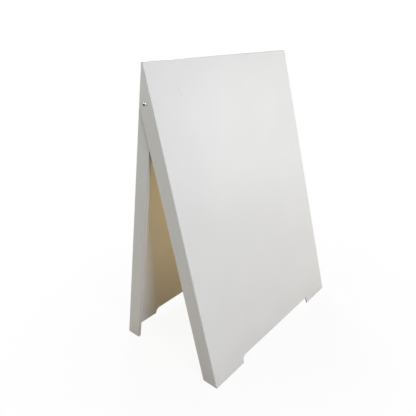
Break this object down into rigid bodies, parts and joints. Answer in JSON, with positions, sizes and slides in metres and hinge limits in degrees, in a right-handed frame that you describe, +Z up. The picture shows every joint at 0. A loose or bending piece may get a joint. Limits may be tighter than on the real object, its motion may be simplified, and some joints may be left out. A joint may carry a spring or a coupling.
{
  "type": "sandwich board",
  "caption": "Folding A-board of folded white sheet steel: two nesting trays on side screws near the top, with arched feet and flat faces for posters.",
  "frame": {"origin": "on the floor, at the middle of the open board's bounding box", "axes": "+Z up, X across the width of the panels, the front (outer) tray faces -Y"},
  "size_m": [0.6466, 0.3958, 0.8785],
  "materials": {
    "white_paint": "satin powder coat",
    "zinc_steel": "bright zinc plate",
    "white_nylon": "satin",
    "blue_nylon": "satin"
  },
  "bodies": {
    "front": {"front_panel": "white_paint", "left_hinge_screw": "zinc_steel", "left_spacer_washer": "white_nylon", "left_flat_washer": "zinc_steel", "left_lock_nut": "zinc_steel", "left_nut_insert": "blue_nylon", "right_hinge_screw": "zinc_steel", "right_spacer_washer": "white_nylon", "right_flat_washer": "zinc_steel", "right_lock_nut": "zinc_steel", "right_nut_insert": "blue_nylon"},
    "rear": {"rear_panel": "white_paint"}
  },
  "joints": [
    {"name": "top_hinge", "type": "hinge", "parent": "front", "child": "rear", "pos_m": [0, 0, 0.77867], "axis": [-1, 0, 0], "range_deg": [0, 24.81]}
  ]
}
